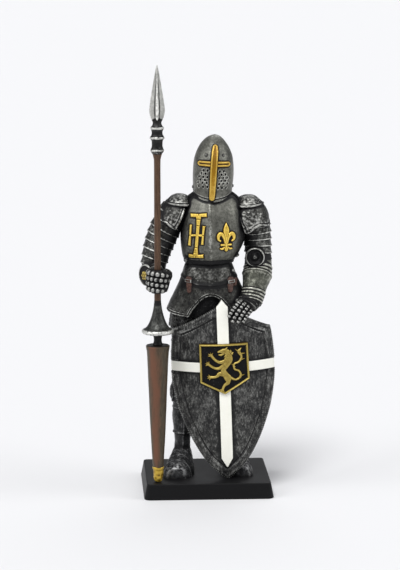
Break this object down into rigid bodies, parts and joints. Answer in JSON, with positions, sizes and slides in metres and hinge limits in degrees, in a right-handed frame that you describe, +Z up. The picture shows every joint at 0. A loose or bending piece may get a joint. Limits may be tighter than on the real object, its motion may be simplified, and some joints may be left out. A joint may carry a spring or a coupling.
{
  "type": "knight figurine",
  "caption": "Painted resin figurine of a standing knight in a great helm, holding a lance and a tall pointed shield, on a low black plinth.",
  "frame": {"origin": "centre of the plinth's flat underside", "axes": "+Z up the figure, the knight faces -Y, +X towards the viewer's right"},
  "size_m": [0.0558, 0.0462, 0.178],
  "materials": {
    "plinth": "cast resin, satin black paint",
    "pewter": "cast resin, pewter paint with silver dry brushing, a black wash and gold details",
    "shield": "cast resin, dark brushed grey paint, ivory cross and gold lion",
    "lance": "cast resin, brown shaft paint with silver and gold ends"
  },
  "bodies": {
    "root": {"plinth": "plinth", "knight": "pewter", "shield": "shield", "lance": "lance"}
  },
  "joints": []
}
